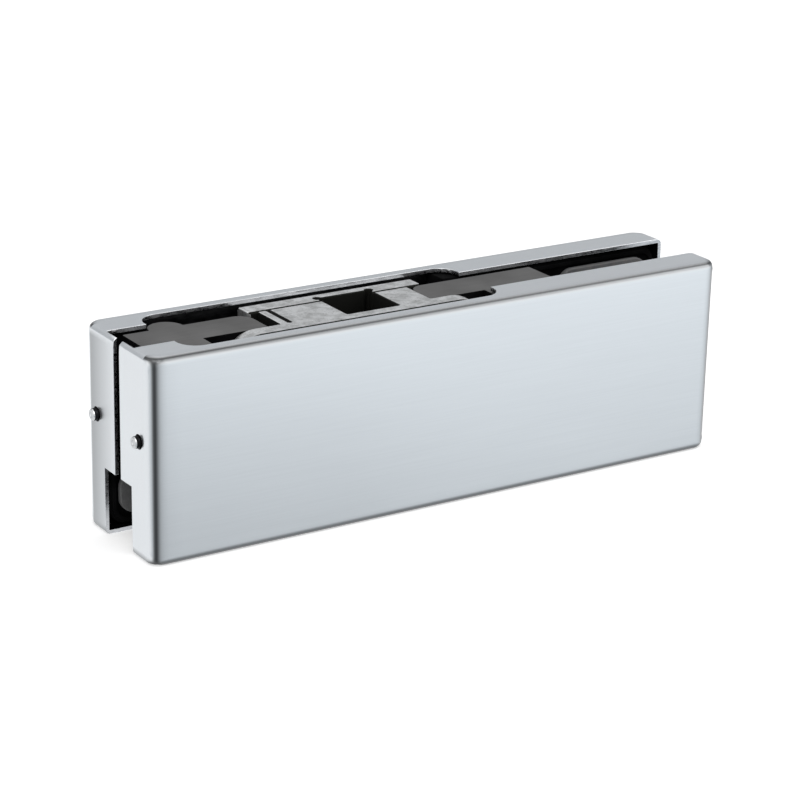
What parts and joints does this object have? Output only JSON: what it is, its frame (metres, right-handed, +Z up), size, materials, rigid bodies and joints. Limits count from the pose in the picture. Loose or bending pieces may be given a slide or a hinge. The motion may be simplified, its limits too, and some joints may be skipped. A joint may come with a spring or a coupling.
{
  "type": "glass patch fitting",
  "caption": "Glass door patch fitting: two covered clamp halves with gasketed glass slot, notch spacer and adjustable pivot insert with a square spindle socket.",
  "frame": {"origin": "centre of the base, between the two halves", "axes": "+X along the fitting away from the hinge side, +Y from the front cover to the rear cover, +Z up, out of the spindle socket"},
  "size_m": [0.1668, 0.034, 0.051],
  "materials": {
    "cover_steel": "satin",
    "cast_aluminium": "cast, dark grey",
    "gasket_rubber": "matte",
    "insert_steel": "rough cast",
    "screw_steel": "bright"
  },
  "bodies": {
    "front_half": {"front_clamp": "cast_aluminium", "front_cover": "cover_steel", "front_gasket": "gasket_rubber", "clamp_screw_left": "screw_steel", "clamp_screw_middle": "screw_steel", "clamp_screw_right": "screw_steel", "clamp_washer_left": "screw_steel", "clamp_washer_middle": "screw_steel", "clamp_washer_right": "screw_steel", "front_lock_screw_left": "screw_steel", "front_lock_screw_right": "screw_steel"},
    "rear_half": {"rear_clamp": "cast_aluminium", "rear_cover": "cover_steel", "rear_gasket": "gasket_rubber", "rear_lock_screw_left": "screw_steel", "rear_lock_screw_right": "screw_steel"},
    "pivot_insert": {"insert_body": "insert_steel", "insert_rear_plate": "insert_steel", "insert_screw_left": "screw_steel", "insert_screw_right": "screw_steel", "insert_washer_left": "screw_steel", "insert_washer_right": "screw_steel"}
  },
  "joints": [
    {"name": "clamp_close", "type": "slide", "parent": "front_half", "child": "rear_half", "axis": [0, -1, 0], "range_m": [0, 0.0013]},
    {"name": "pivot_adjust", "type": "slide", "parent": "front_half", "child": "pivot_insert", "axis": [1, 0, 0], "range_m": [-0.003, 0]}
  ]
}
